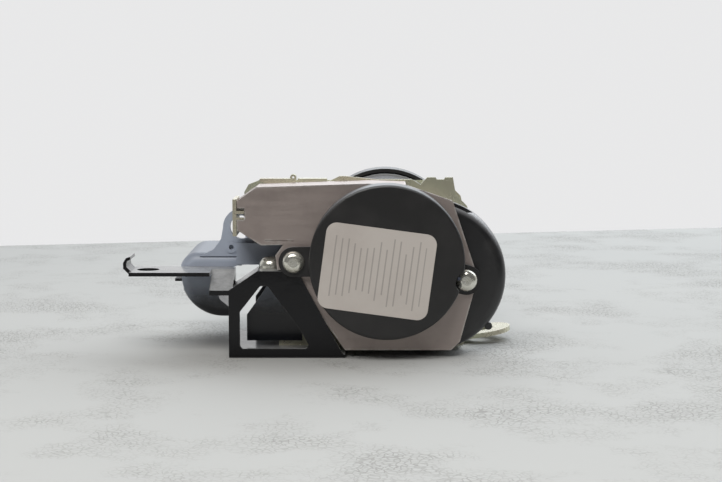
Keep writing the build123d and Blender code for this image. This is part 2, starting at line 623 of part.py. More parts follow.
def bracket_rivets():
    """Four rivets that hold the frame's web on the bracket's base."""
    seat = BRACKET_T + FRAME_T
    rivets = []
    for x, y in bracket_rivet_places():
        head = upright(x, y, SHANK_R + 1.6, seat, seat + 1.8)
        head = fillet(head.edges().group_by(Axis.Z)[-1], 1.4)
        rivets.append(head + upright(x, y, SHANK_R, 0.2, seat))
    return group(rivets)


# Webbing guide
def guide_bulb():
    """The rounded horn that the webbing leaves through, hollowed below on its inner side."""
    left, right, top, bottom = GUIDE_LEFT, BULB_RIGHT, HORN_TOP, GUIDE_BOTTOM
    block = shape([(right, top), (left, top), (left, bottom), (right, bottom)])
    for x, z, r in ((left, top, 8.0), (left, bottom, 18.5)):
        block = fillet(block.vertices().sort_by_distance((x, z, 0))[0], r)
    horn = slab(block, HORN_FRONT, HORN_BACK)
    outline = [e for end in (0, -1) for e in horn.edges().group_by(Axis.Y)[end] if e.center().X < right - 1]
    horn = fillet(outline, 4.0)
    hollow = shape([(LIP_X, 16.5), (-71.6, 21.3), (-73.4, 27.6), (-70.5, 33), (-64, 36), (-50, 36), (-50, 10), (LIP_X, 10)])
    hollow = fillet(hollow.vertices().filter_by(lambda v: v.X < -68), 3.0)
    return horn - slab(hollow, HORN_FRONT, HORN_BACK)


def guide_cheek():
    """A side wall of the guide, with the skirt that reaches in over the frame."""
    upper = [(CHEEK_LEFT, CHEEK_TOP), (-36, CHEEK_TOP), (-36, CHEEK_BOTTOM), (-59.7, CHEEK_BOTTOM)]
    return shape([*upper, (-59.7, 15.2), (-53.3, 24.1), (-50, 29.5), (-54, 36.8), (CHEEK_LEFT, 36.8)])


def webbing_guide():
    guide = guide_bulb()
    guide += slab(guide_cheek(), GUIDE_FRONT, NEAR_PLATE - GUIDE_SEAM)
    guide += slab(guide_cheek(), FAR_BACK + GUIDE_SEAM, GUIDE_BACK)
    corner = rectangle(CHEEK_LEFT, CHEEK_LEFT + 4, 36.8, CHEEK_TOP)
    guide += slab(corner, GUIDE_FRONT, HORN_FRONT + HORN_WALL) + slab(corner, HORN_BACK - HORN_WALL, GUIDE_BACK)
    root = [(-80, 40), (-74, 43), (-70.8, 47.5), (EYE_X - EYE_R, EYE_Z), (FRAME_LEFT, EYE_Z), (FRAME_LEFT, 40)]
    eye = disc(EYE_X, EYE_Z, EYE_R) + shape(root)
    eye = (eye - disc(EYE_X, EYE_Z, EYE_HOLE_R)) & rectangle(-80, FRAME_LEFT - RUNNING_GAP, 40, 62)
    guide += slab(eye, HORN_FRONT, HORN_FRONT + 3)
    guide += rod(PEG_X, PEG_Z, PEG_R, HORN_FRONT - 0.4, HORN_FRONT + 1)
    guide -= rod(PEG_X, PEG_Z, PEG_HOLE_R, HORN_FRONT - 0.4, HORN_FRONT + 1.5)
    slot_front, slot_back = WEBBING_FRONT - SIDE_PLAY, WEBBING_BACK + SIDE_PLAY
    guide -= slab(run_band(2 * SLOT_GAP, -92), slot_front, slot_back)
    flare = [(-82.5, MOUTH_Z - SLOT_GAP), (-82.5, MOUTH_Z + SLOT_GAP), (-92, MOUTH_Z + 6), (-92, MOUTH_Z - 6)]
    return guide - slab(shape(flare), slot_front, slot_back)


# Lock and sensor
def pawl_axes():
    """Unit steps along the pawl, from its pivot to its nose, and across it towards the wheel."""
    lean = radians(8.7)
    return (-cos(lean), sin(lean)), (sin(lean), cos(lean))


def pawl_point(s, t):
    along, to_wheel = pawl_axes()
    x0 = NOSE_X - PAWL_LENGTH * along[0] - NOSE_H * to_wheel[0]
    z0 = SPOOL_Z - NOSE_DROP - PAWL_LENGTH * along[1] - NOSE_H * to_wheel[1]
    return x0 + s * along[0] + t * to_wheel[0], z0 + s * along[1] + t * to_wheel[1]


def pawl_pivot():
    return pawl_point(0, 0)


def swung(point):
    """Where a point of the pawl lies when the pawl is fully in."""
    x0, z0 = pawl_pivot()
    a = -radians(PAWL_SWING)
    x, z = point[0] - x0, point[1] - z0
    return x0 + x * cos(a) - z * sin(a), z0 + x * sin(a) + z * cos(a)


def ratchet_wheel():
    x, z = swung(pawl_point(PAWL_LENGTH - NOSE_W / 2, NOSE_H))
    teeth = ratchet_outline(atan2(z - SPOOL_Z, x))
    return slab(teeth - disc(0, SPOOL_Z, SHAFT_R), RATCHET_FRONT, RATCHET_FRONT + RATCHET_T)


def locking_pawl():
    """The pawl, with a nose for the ratchet and a pin for the control disc's cam slot."""
    n = PAWL_LENGTH
    nose = [(n - NOSE_W - 1.6, 1.2), (n - NOSE_W, NOSE_H), (n, NOSE_H), (n + 0.5, -1.4)]
    body = [(0, -3.2), (0, 2.2), *nose]
    plan = shape([pawl_point(s, t) for s, t in body]) + disc(*pawl_pivot(), 3.4)
    plan -= disc(*pawl_pivot(), PAWL_PIN_R + RUNNING_FIT)
    back = RATCHET_FRONT + RATCHET_T - 0.2
    pin = rod(*pawl_point(CAM_PIN_AT, -0.6), CAM_PIN_R, back, DISC_FRONT + DISC_T)
    return slab(plan, RATCHET_FRONT + 0.2, back) + pin


def pawl_pin():
    return rod(*pawl_pivot(), PAWL_PIN_R, FAR_PLATE, RATCHET_FRONT + RATCHET_T + 0.4)


def control_disc():
    """The toothed disc that lags when the webbing is snatched; its cam slot swings the pawl."""
    x0, z0 = pawl_point(CAM_PIN_AT, -0.6)
    x1, z1 = swung((x0, z0))
    back = -radians(PAWL_SWING)
    dx, dz = x1, z1 - SPOOL_Z
    x1, z1 = dx * cos(back) - dz * sin(back), SPOOL_Z + dx * sin(back) + dz * cos(back)
    turn = degrees(atan2(z1 - z0, x1 - x0))
    middle = Pos((x0 + x1) / 2, (z0 + z1) / 2) * Rot(0, 0, turn)
    reach = hypot(x1 - x0, z1 - z0)
    lobe = middle * RectangleRounded(reach + 8.4, 6.4, 3) + middle * Pos(0, -3.5) * Rectangle(reach, 8)
    cam = middle * SlotOverall(reach + 2 * CAM_PIN_R + 1.0, 2 * CAM_PIN_R + 1.0)
    plan = disc_outline() + lobe - cam - disc(0, SPOOL_Z, SHAFT_R + RUNNING_FIT)
    return slab(plan, DISC_FRONT, DISC_FRONT + DISC_T)


def sensor_ball():
    return Pos(BALL_X, SENSOR_Y, SPOOL_Z) * Sphere(BALL_R)


def sensor_housing():
    """The ball's cup on its carrier, with the lever's pin."""
    floor = MECHANISM_BACK - MECHANISM_WALL
    back = floor - MECHANISM_ROUND
    right = BALL_X + BALL_R + 0.8
    block = slab(rectangle(BALL_X + 1.2, right, SPOOL_Z - 5, SPOOL_Z + 5), SENSOR_Y - 4, back)
    wall_front = SENSOR_Y + BALL_R - 1
    block += slab(rectangle(LEVER_X - 2, right, SPOOL_Z - 5, SPOOL_Z + 10), wall_front, back)
    block += slab(rectangle(LEVER_X - 2, BALL_X - 1, SPOOL_Z - 5, SPOOL_Z + 10), back, floor)
    block += rod(LEVER_X, SPOOL_Z + LEVER_PIVOT_H, LEVER_PIN_R, SENSOR_Y - 3, wall_front)
    block -= along_x(SENSOR_Y, SPOOL_Z, BALL_R + 0.2, LEVER_X - 2, BALL_X)
    return block - Pos(BALL_X, SENSOR_Y, SPOOL_Z) * Rot(0, 0, 180) * Sphere(BALL_R + 0.2)


def sensor_lever():
    """The lever on the ball, with a hook that reaches over the control disc's teeth."""
    x, z = LEVER_X, SPOOL_Z
    blade = rectangle(x - LEVER_T / 2, x + LEVER_T / 2, z - 3.5, z + LEVER_PIVOT_H)
    blade += disc(x, z + LEVER_PIVOT_H, 2.0)
    blade -= disc(x, z + LEVER_PIVOT_H, LEVER_PIN_R + RUNNING_FIT)
    lever = slab(blade, SENSOR_Y - 2.5, SENSOR_Y + 2.5)
    tooth_x = DISC_R + 0.6
    tooth = shape([(tooth_x, z), (x - LEVER_T / 2, z - 0.9), (x + LEVER_T / 2, z - 0.9),
                   (x + LEVER_T / 2, z + 0.9), (x - LEVER_T / 2, z + 0.9)])
    return lever + slab(tooth, DISC_FRONT + 0.2, SENSOR_Y - 2.5)


def mechanism_cover():
    """The far cover, a round cup over the lock, held by three screws through its lugs."""
    cover = rod(0, SPOOL_Z, MECHANISM_R, FAR_BACK, MECHANISM_BACK)
    cover = fillet(ring_edges(cover, MECHANISM_R, -1), MECHANISM_ROUND)
    inside = rod(0, SPOOL_Z, MECHANISM_R - MECHANISM_WALL, FAR_BACK, MECHANISM_BACK - MECHANISM_WALL)
    inside = fillet(ring_edges(inside, MECHANISM_R - MECHANISM_WALL, -1), MECHANISM_ROUND - MECHANISM_WALL)
    for angle in SCREW_ANGLES:
        x, z = polar(0, SPOOL_Z, SCREW_CIRCLE_R, radians(angle))
        neck = Pos(x, z) * Rot(0, 0, angle) * Pos(-3, 0) * Rectangle(6, 2 * LUG_R)
        cover += slab(neck + disc(x, z, LUG_R), FAR_BACK, FAR_BACK + LUG_T)
        cover -= rod(x, z, SCREW_R, FAR_BACK, FAR_BACK + LUG_T)
    return cover - inside


def cover_screws():
    screws = []
    seat = FAR_BACK + LUG_T
    for angle in SCREW_ANGLES:
        x, z = polar(0, SPOOL_Z, SCREW_CIRCLE_R, radians(angle))
        head = rod(x, z, SCREW_HEAD_R, seat, seat + 2)
        head = fillet(ring_edges(head, SCREW_HEAD_R, -1), 0.8)
        head -= rod(x, z, 1.1, seat + 0.8, seat + 2)
        screws.append(head + rod(x, z, SCREW_R, FAR_PLATE, seat))
    return group(screws)


PIECES = [
    retractor_frame, frame_straps, shaft_bushes, housing_plate, generator_end_plate,
    pretensioner_tube, gas_generator, rack_piston, ring_gear, drive_pinion, gear_case,
    spring_cover, cover_label, cover_rivets, mainspring, spring_arbor, torsion_bar, spool,
    webbing_roll, webbing_run, webbing_tail, mounting_bracket, bracket_nut, bracket_rivets,
    webbing_guide, ratchet_wheel, locking_pawl, pawl_pin, control_disc, sensor_ball,
    sensor_housing, sensor_lever, mechanism_cover, cover_screws,
]


def main():
    os.makedirs("parts", exist_ok=True)
    made = {piece.__name__: piece() for piece in PIECES}
    box = Compound(children=[Compound(part.wrapped) for part in made.values()]).bounding_box()
    shift = Pos(-box.center().X, -box.center().Y, -box.min.Z)
    for name, part in made.items():
        export_step(shift * part, f"parts/{name}.step")
    print("shift", -box.center().X, -box.center().Y, -box.min.Z)


main()
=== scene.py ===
"""Seat-belt retractor on a pale table: webbing, finishes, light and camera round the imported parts."""

import math

import bpy
from mathutils import Matrix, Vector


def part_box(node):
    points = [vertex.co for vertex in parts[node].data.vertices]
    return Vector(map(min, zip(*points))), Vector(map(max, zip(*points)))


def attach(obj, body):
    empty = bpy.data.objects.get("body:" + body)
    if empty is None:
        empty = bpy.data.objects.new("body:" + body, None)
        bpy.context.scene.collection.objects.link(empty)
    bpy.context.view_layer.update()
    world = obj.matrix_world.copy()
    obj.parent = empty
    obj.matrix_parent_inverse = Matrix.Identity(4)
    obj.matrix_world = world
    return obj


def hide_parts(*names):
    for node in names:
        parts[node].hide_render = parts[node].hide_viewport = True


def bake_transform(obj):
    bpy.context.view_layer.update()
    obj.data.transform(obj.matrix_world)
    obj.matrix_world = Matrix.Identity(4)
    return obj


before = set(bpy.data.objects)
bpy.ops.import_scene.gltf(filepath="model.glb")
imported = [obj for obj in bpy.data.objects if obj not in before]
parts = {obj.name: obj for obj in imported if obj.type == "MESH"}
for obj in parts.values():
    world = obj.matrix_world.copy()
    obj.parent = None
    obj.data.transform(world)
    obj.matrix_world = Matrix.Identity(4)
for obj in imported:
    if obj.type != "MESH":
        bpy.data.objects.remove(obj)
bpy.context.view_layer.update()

spool_low, spool_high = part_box("spool")
SPOOL_X = (spool_low[0] + spool_high[0]) / 2
SPOOL_Z = (spool_low[2] + spool_high[2]) / 2
LABEL_FACE_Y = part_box("cover_label")[0][1]


# ---------------------------------------------------------------------------
# Camera. A medium telephoto lens stands about 70 cm in front of the spring
# cover, a little above the part, and looks slightly down on it.
# ---------------------------------------------------------------------------
CAMERA_LEFT, CAMERA_BACK, CAMERA_UP = 0.00694, 0.6918, 0.1263
LOOK_DOWN, LOOK_LEFT = math.radians(6.25), math.radians(0.302)
camera_data = bpy.data.cameras.new("camera")
camera_data.sensor_width = 36.0
camera_data.lens = 85.1
camera_data.clip_end = 20.0
camera = bpy.data.objects.new("camera", camera_data)
camera.location = (SPOOL_X - CAMERA_LEFT, LABEL_FACE_Y - CAMERA_BACK, CAMERA_UP)
camera.rotation_euler = (math.radians(90) - LOOK_DOWN, 0.0, LOOK_LEFT)
bpy.context.scene.collection.objects.link(camera)
bpy.context.scene.camera = camera


# ---------------------------------------------------------------------------
# Table and room. The table is a pale matt top with fine cracks in patches of its
# varnish; its far edge runs aslant 40 cm behind the part, before a bare wall.
# ---------------------------------------------------------------------------
def add(tree, kind, values=None, links=None, **settings):
    """A shader node with its settings, the values of its sockets, and what feeds them."""
    made = tree.nodes.new(kind)
    for name, value in settings.items():
        setattr(made, name, value)
    for socket, value in (values or {}).items():
        made.inputs[socket].default_value = value
    for socket, source in (links or {}).items():
        tree.links.new(source, made.inputs[socket])
    return made


def maths(tree, operation, *terms):
    """A sum, product or other operation on numbers and sockets."""
    made = tree.nodes.new("ShaderNodeMath")
    made.operation = operation
    for place_in_node, term in enumerate(terms):
        if isinstance(term, (int, float)):
            made.inputs[place_in_node].default_value = term
        else:
            tree.links.new(term, made.inputs[place_in_node])
    return made.outputs["Value"]


def ranged(tree, value, source, target=(0.0, 1.0), **settings):
    """The value's source range spread over the target range, and held at its ends."""
    limits = dict(zip(("From Min", "From Max", "To Min", "To Max"), (*source, *target)))
    return add(tree, "ShaderNodeMapRange", limits, {"Value": value}, **settings).outputs["Result"]


def plain_material(name, base, metallic=0.0, roughness=0.5, **sockets):
    made = bpy.data.materials.new(name)
    made.use_nodes = True
    shader = made.node_tree.nodes["Principled BSDF"]
    shader.inputs["Base Color"].default_value = (*base, 1.0)
    shader.inputs["Metallic"].default_value = metallic
    shader.inputs["Roughness"].default_value = roughness
    for socket, value in sockets.items():
        shader.inputs[socket.replace("_", " ")].default_value = value
    return made, made.node_tree, shader


TABLE_FAR_EDGE, TABLE_NEAR_EDGE, TABLE_LENGTH = 0.42, -0.31, 2.4
TABLE_TURN = math.radians(13.8)
bpy.ops.mesh.primitive_plane_add(size=1.0, location=(0.0, (TABLE_FAR_EDGE + TABLE_NEAR_EDGE) / 2, 0.0))
table = bpy.context.object
table.name = "table_top"
table.scale = (TABLE_LENGTH, TABLE_FAR_EDGE - TABLE_NEAR_EDGE, 1.0)
table.rotation_euler = (0.0, 0.0, TABLE_TURN)
bpy.ops.object.transform_apply(rotation=True, scale=True)
top, tree, shader = plain_material("pale table top", (0.45, 0.458, 0.448), 0.0, 0.8, Specular_IOR_Level=0.25)
place = add(tree, "ShaderNodeTexCoord").outputs["Object"]
tone = add(tree, "ShaderNodeTexNoise", {"Scale": 5.0, "Detail": 3.0}, {"Vector": place})
tint = add(tree, "ShaderNodeMix", {"A": (0.46, 0.463, 0.449, 1), "B": (0.505, 0.505, 0.487, 1)},
           {"Factor": tone.outputs["Fac"]}, data_type="RGBA")
swirl = add(tree, "ShaderNodeTexNoise", {"Scale": 90.0, "Detail": 2.0}, {"Vector": place})
bent = add(tree, "ShaderNodeVectorMath", {1: (0.006, 0.006, 0.0)}, {0: swirl.outputs["Color"], 2: place},
           operation="MULTIPLY_ADD")
cracks = add(tree, "ShaderNodeTexVoronoi", {"Scale": 430.0, "Randomness": 1.0},
             {"Vector": bent.outputs["Vector"]}, feature="DISTANCE_TO_EDGE")
thin = ranged(tree, cracks.outputs["Distance"], (0.02, 0.12), (1.0, 0.0))
patches = add(tree, "ShaderNodeTexNoise", {"Scale": 17.0, "Detail": 5.0, "Roughness": 0.6}, {"Vector": place})
shown = ranged(tree, patches.outputs["Fac"], (0.47, 0.62))
line = maths(tree, "MULTIPLY", thin, shown)
groove = maths(tree, "SUBTRACT", 1.0, line)
lift = add(tree, "ShaderNodeBump", {"Strength": 0.5, "Distance": 0.0003}, {"Height": groove})
dirt = add(tree, "ShaderNodeMix", {"B": (0.34, 0.335, 0.32, 1)},
           {"Factor": line, "A": tint.outputs["Result"]}, data_type="RGBA")
tree.links.new(dirt.outputs["Result"], shader.inputs["Base Color"])
tree.links.new(lift.outputs["Normal"], shader.inputs["Normal"])
table.data.materials.append(top)

room = bpy.data.worlds.new("pale room")
room.use_nodes = True
sky = room.node_tree
towards_wall = add(sky, "ShaderNodeTexCoord").outputs["Generated"]
depth = add(sky, "ShaderNodeSeparateXYZ", {}, {"Vector": towards_wall}).outputs["Y"]
wall_share = ranged(sky, depth, (-0.25, 0.45), (0.09, 1.0))
seen = add(sky, "ShaderNodeLightPath").outputs["Is Camera Ray"]
strength = maths(sky, "MAXIMUM", wall_share, seen)
sky.nodes["Background"].inputs["Color"].default_value = (0.81, 0.81, 0.815, 1.0)
sky.links.new(strength, sky.nodes["Background"].inputs["Strength"])
bpy.context.scene.world = room
bpy.context.scene.view_settings.view_transform = "Standard"


# ---------------------------------------------------------------------------
# Light. A wide window behind, to the right and above gives the pale blue sheen
# on all that faces up; a soft lamp in front, above and left lights the label.
# ---------------------------------------------------------------------------
def soft_light(name, place, towards, size, power, colour):
    data = bpy.data.lights.new(name, "AREA")
    data.shape = "RECTANGLE"
    data.size, data.size_y = size
    data.energy = power
    data.color = colour
    lamp = bpy.data.objects.new(name, data)
    lamp.location = place
    ray = [t - p for t, p in zip(towards, place)]
    flat = math.hypot(ray[0], ray[1])
    lamp.rotation_euler = (math.atan2(flat, -ray[2]), 0.0, math.atan2(-ray[0], ray[1]))
    lamp.visible_camera = False
    bpy.context.scene.collection.objects.link(lamp)


soft_light("window_behind", (0.45, 0.65, 0.8), (0.0, 0.0, 0.03), (1.9, 0.9), 13.0, (0.88, 0.94, 1.0))
soft_light("lamp_in_front", (-0.25, -0.9, 1.0), (0.0, 0.0, 0.03), (0.9, 0.6), 12.5, (1.0, 0.985, 0.965))


# ---------------------------------------------------------------------------
# Shared surface effects: handling marks, fine grain, bright edges that are partly wear and partly a painted
# highlight, and a pale grey on what faces up that is partly settled dust and partly a painted sheen. Each is
# one node group, placed in a finish with that finish's own values.
# ---------------------------------------------------------------------------
def new_group(name, inputs, outputs):
    group = bpy.data.node_groups.new(name, "ShaderNodeTree")
    for title, kind, value in inputs:
        socket = group.interface.new_socket(title, in_out="INPUT", socket_type=kind)
        if value is not None:
            socket.default_value = value
    for title, kind in outputs:
        group.interface.new_socket(title, in_out="OUTPUT", socket_type=kind)
    return group, group.nodes.new("NodeGroupInput"), group.nodes.new("NodeGroupOutput")


marks_group, marks_in, marks_out = new_group(
    "handling marks",
    [("Vector", "NodeSocketVector", None), ("Size", "NodeSocketFloat", 60.0),
     ("Share", "NodeSocketFloat", 0.5)],
    [("Mask", "NodeSocketFloat")],
)
blotch = add(marks_group, "ShaderNodeTexNoise", {"Detail": 6.0, "Roughness": 0.62},
             {"Vector": marks_in.outputs["Vector"], "Scale": marks_in.outputs["Size"]})
floor_level = maths(marks_group, "SUBTRACT", 1.0, marks_in.outputs["Share"])
clear_level = maths(marks_group, "ADD", floor_level, 0.35)
blotch_range = add(marks_group, "ShaderNodeMapRange", {},
                   {"Value": blotch.outputs["Fac"], "From Min": floor_level,
                    "From Max": clear_level})
marks_group.links.new(blotch_range.outputs["Result"], marks_out.inputs["Mask"])

grain_group, grain_in, grain_out = new_group(
    "fine grain",
    [("Vector", "NodeSocketVector", None), ("Grains", "NodeSocketFloat", 900.0)],
    [("Height", "NodeSocketFloat")],
)
coarse = add(grain_group, "ShaderNodeTexNoise", {"Detail": 4.0, "Roughness": 0.7},
             {"Vector": grain_in.outputs["Vector"], "Scale": grain_in.outputs["Grains"]})
grain_group.links.new(coarse.outputs["Fac"], grain_out.inputs["Height"])

# Edge mask: paints edges brighter, partly as wear and partly as a painted highlight of the bends.
worn_lit_edge_group, edge_in, edge_out = new_group(
    "worn edges",
    [("Radius", "NodeSocketFloat", 0.0006), ("Vector", "NodeSocketVector", None)],
    [("Mask", "NodeSocketFloat")],
)
rounded = add(worn_lit_edge_group, "ShaderNodeBevel", {}, {"Radius": edge_in.outputs["Radius"]}, samples=4)
true_normal = add(worn_lit_edge_group, "ShaderNodeNewGeometry")
turned = add(worn_lit_edge_group, "ShaderNodeVectorMath", {},
             {0: rounded.outputs["Normal"], 1: true_normal.outputs["Normal"]}, operation="DOT_PRODUCT")
near_edge = ranged(worn_lit_edge_group, turned.outputs["Value"], (0.995, 0.90))
broken = add(worn_lit_edge_group, "ShaderNodeTexNoise", {"Scale": 420.0, "Detail": 3.0},
             {"Vector": edge_in.outputs["Vector"]})
broken_range = ranged(worn_lit_edge_group, broken.outputs["Fac"], (0.38, 0.58))
worn_lit_edge_mask = maths(worn_lit_edge_group, "MULTIPLY", near_edge, broken_range)
worn_lit_edge_group.links.new(worn_lit_edge_mask, edge_out.inputs["Mask"])


# Up-facing mask: what faces up is painted paler, partly as settled dust and partly as a painted sheen from
# the bright room.
dust_sheen_group, dust_sheen_in, dust_sheen_out = new_group(
    "settled dust",
    [("Vector", "NodeSocketVector", None), ("Facing", "NodeSocketVector", None)],
    [("Mask", "NodeSocketFloat")],
)
upward = add(dust_sheen_group, "ShaderNodeSeparateXYZ", {}, {"Vector": dust_sheen_in.outputs["Facing"]})
level = ranged(dust_sheen_group, upward.outputs["Z"], (0.25, 0.95))
specks = add(dust_sheen_group, "ShaderNodeTexNoise", {"Scale": 160.0, "Detail": 6.0, "Roughness": 0.75},
             {"Vector": dust_sheen_in.outputs["Vector"]})
specks_range = ranged(dust_sheen_group, specks.outputs["Fac"], (0.25, 0.65), (0.55, 1.0))
dust_sheen_mask = maths(dust_sheen_group, "MULTIPLY", level, specks_range)
dust_sheen_group.links.new(dust_sheen_mask, dust_sheen_out.inputs["Mask"])


def effect(tree, group, values=None, links=None):
    made = add(tree, "ShaderNodeGroup", node_tree=group)
    for socket, value in (values or {}).items():
        made.inputs[socket].default_value = value
    for socket, source in (links or {}).items():
        tree.links.new(source, made.inputs[socket])
    return made


def blend_colours(tree, first, second, mask):
    """One colour where the mask is 0 and the other where it is 1; either may be a socket."""
    mixed = add(tree, "ShaderNodeMix", data_type="RGBA")
    tree.links.new(mask, mixed.inputs["Factor"])
    for socket, colour in (("A", first), ("B", second)):
        if isinstance(colour, tuple):
            mixed.inputs[socket].default_value = (*colour, 1.0)
        else:
            tree.links.new(colour, mixed.inputs[socket])
    return mixed.outputs["Result"]


def marks(tree, place, size, share):
    return effect(tree, marks_group, {"Size": size, "Share": share}, {"Vector": place}).outputs["Mask"]


def grains(tree, place, count):
    return effect(tree, grain_group, {"Grains": count}, {"Vector": place}).outputs["Height"]


def worn_and_highlighted_edges(tree, place, radius):
    return effect(tree, worn_lit_edge_group, {"Radius": radius}, {"Vector": place}).outputs["Mask"]


def dust_and_painted_sheen(tree, place):
    facing = add(tree, "ShaderNodeTexCoord").outputs["Normal"]
    return effect(tree, dust_sheen_group, {}, {"Vector": place, "Facing": facing}).outputs["Mask"]


def spread(tree, mask, low, high):
    return ranged(tree, mask, (0.0, 1.0), (low, high))


def colour(tree, shader, first, second, mask):
    tree.links.new(blend_colours(tree, first, second, mask), shader.inputs["Base Color"])


def roughen(tree, shader, mask, low, high):
    tree.links.new(spread(tree, mask, low, high), shader.inputs["Roughness"])


def bump(tree, shader, height, strength, distance):
    raised = add(tree, "ShaderNodeBump", {"Strength": strength, "Distance": distance}, {"Height": height})
    tree.links.new(raised.outputs["Normal"], shader.inputs["Normal"])


def dress(material, *names):
    for name in names:
        node = parts[name]
        node.data.materials.clear()
        node.data.materials.append(material)


# ---------------------------------------------------------------------------
# Frame, straps and end plate: pressed mild steel with yellow-passivated zinc,
# pale greenish gold with a faint drift of colour, duller where it was handled.
# ---------------------------------------------------------------------------
zinc, tree, shader = plain_material("yellow zinc", (0.62, 0.60, 0.40), 0.6, 0.35)
place = add(tree, "ShaderNodeTexCoord").outputs["Object"]
drift = marks(tree, place, 38.0, 0.62)
dull = marks(tree, place, 150.0, 0.5)
gold = blend_colours(tree, (0.66, 0.67, 0.50), (0.62, 0.53, 0.43), drift)
colour(tree, shader, gold, (0.50, 0.49, 0.38), dull)
roughen(tree, shader, dull, 0.24, 0.42)
grain = grains(tree, place, 700.0)
bump(tree, shader, grain, 0.12, 0.0002)
dress(zinc, "retractor_frame", "frame_straps", "generator_end_plate")


# ---------------------------------------------------------------------------
# Housing plate: drawn from bare rolled steel, oiled and dull, a brownish grey with faint stains; its folded
# rim is painted bright as a highlight of the bend.
# ---------------------------------------------------------------------------
rolled, tree, shader = plain_material("rolled steel", (0.24, 0.215, 0.20), 0.6, 0.42)
place = add(tree, "ShaderNodeTexCoord").outputs["Object"]
stretched = add(tree, "ShaderNodeMapping", {"Scale": (1.0, 1.0, 9.0)}, {"Vector": place}).outputs["Vector"]
stains = marks(tree, place, 55.0, 0.5)
streaks = marks(tree, stretched, 60.0, 0.6)
steel = blend_colours(tree, (0.40, 0.34, 0.315), (0.29, 0.245, 0.225), stains)
# Painted highlight: the folded rim is painted near white where the bend catches the light.
painted_fold_highlight = worn_and_highlighted_edges(tree, place, 0.0012)
colour(tree, shader, steel, (0.62, 0.60, 0.57), painted_fold_highlight)
roughen(tree, shader, streaks, 0.36, 0.50)
grain = grains(tree, stretched, 500.0)
bump(tree, shader, grain, 0.10, 0.0002)
dress(rolled, "housing_plate")


# ---------------------------------------------------------------------------
# Bracket: thick pressed steel with a gloss black dip coating, which is slightly wavy, thins at the sheared
# edges and shows grey rub marks there, painted a little greyer as wear and edge highlight together; what
# faces up is painted pale grey, partly dust and partly a painted sheen.
# ---------------------------------------------------------------------------
coating, tree, shader = plain_material("black dip coating", (0.012, 0.012, 0.014), 0.0, 0.16)
shader.inputs["IOR"].default_value = 1.36
place = add(tree, "ShaderNodeTexCoord").outputs["Object"]
# What faces up is painted pale grey: dust together with a painted sheen.
dust_and_sheen = dust_and_painted_sheen(tree, place)
rubs = marks(tree, place, 110.0, 0.42)
# Edges painted a little greyer: rub marks and a painted edge highlight together.
worn_and_lit_edge = worn_and_highlighted_edges(tree, place, 0.0005)
black = blend_colours(tree, (0.005, 0.005, 0.006), (0.06, 0.058, 0.056), worn_and_lit_edge)
colour(tree, shader, black, (0.36, 0.363, 0.365), dust_and_sheen)
roughen(tree, shader, rubs, 0.13, 0.26)
waves = grains(tree, place, 130.0)
bump(tree, shader, waves, 0.10, 0.0006)
dress(coating, "mounting_bracket")


# ---------------------------------------------------------------------------
# Nut and cover rivets: cold-headed steel with bright zinc, mirror-like domes
# with a slightly cloudy skin and small scratches from the tools.
# ---------------------------------------------------------------------------
bright_zinc, tree, shader = plain_material("bright zinc", (0.78, 0.775, 0.72), 0.8, 0.22)
place = add(tree, "ShaderNodeTexCoord").outputs["Object"]
cloud = marks(tree, place, 260.0, 0.55)
colour(tree, shader, (0.76, 0.75, 0.68), (0.56, 0.54, 0.45), cloud)
roughen(tree, shader, cloud, 0.18, 0.36)
grain = grains(tree, place, 600.0)
bump(tree, shader, grain, 0.10, 0.0003)
dress(bright_zinc, "cover_rivets", "bracket_nut")


# ---------------------------------------------------------------------------
# Spring cover, lock cover and lever: satin black moulded polyamide with a very
# fine spark-eroded texture and a few paler smudges.
# ---------------------------------------------------------------------------
satin, tree, shader = plain_material("satin black moulding", (0.017, 0.016, 0.016), 0.0, 0.46)
place = add(tree, "ShaderNodeTexCoord").outputs["Object"]
smudge = marks(tree, place, 45.0, 0.52)
# What faces up is painted pale grey: dust together with a painted sheen on the rims.
dust_and_sheen = dust_and_painted_sheen(tree, place)
black = blend_colours(tree, (0.015, 0.0145, 0.0145), (0.027, 0.025, 0.025), smudge)
colour(tree, shader, black, (0.15, 0.157, 0.165), dust_and_sheen)
roughen(tree, shader, smudge, 0.40, 0.56)
grain = grains(tree, place, 2600.0)
bump(tree, shader, grain, 0.18, 0.00012)
dress(satin, "spring_cover", "mechanism_cover", "sensor_lever")


# ---------------------------------------------------------------------------
# Gear case: black moulding with a smoother skin; the broad soft highlight on its rounded rim comes partly
# from that skin and partly from a pale grey painted on what faces up, which is light dust and painted sheen
# together.
# ---------------------------------------------------------------------------
case_skin, tree, shader = plain_material("smooth black moulding", (0.014, 0.014, 0.015), 0.0, 0.3, IOR=1.6)
place = add(tree, "ShaderNodeTexCoord").outputs["Object"]
smudge = marks(tree, place, 70.0, 0.5)
# What faces up is painted pale grey: light dust together with the painted rim highlight.
dust_and_sheen = dust_and_painted_sheen(tree, place)
black = blend_colours(tree, (0.012, 0.012, 0.013), (0.034, 0.033, 0.033), smudge)
colour(tree, shader, black, (0.40, 0.40, 0.41), dust_and_sheen)
roughen(tree, shader, smudge, 0.30, 0.44)
grain = grains(tree, place, 1500.0)
bump(tree, shader, grain, 0.10, 0.00012)
dress(case_skin, "gear_case")


# ---------------------------------------------------------------------------
# Webbing guide: glossy blue-black moulding, polished by the webbing, with a painted blue-grey reflection of
# the bright room on its upper half, painted weaker where it faces straight up.
# ---------------------------------------------------------------------------
guide_skin, tree, shader = plain_material("blue-black moulding", (0.030, 0.034, 0.045), 0.0, 0.22)
shader.inputs["IOR"].default_value = 1.5
place = add(tree, "ShaderNodeTexCoord").outputs["Object"]
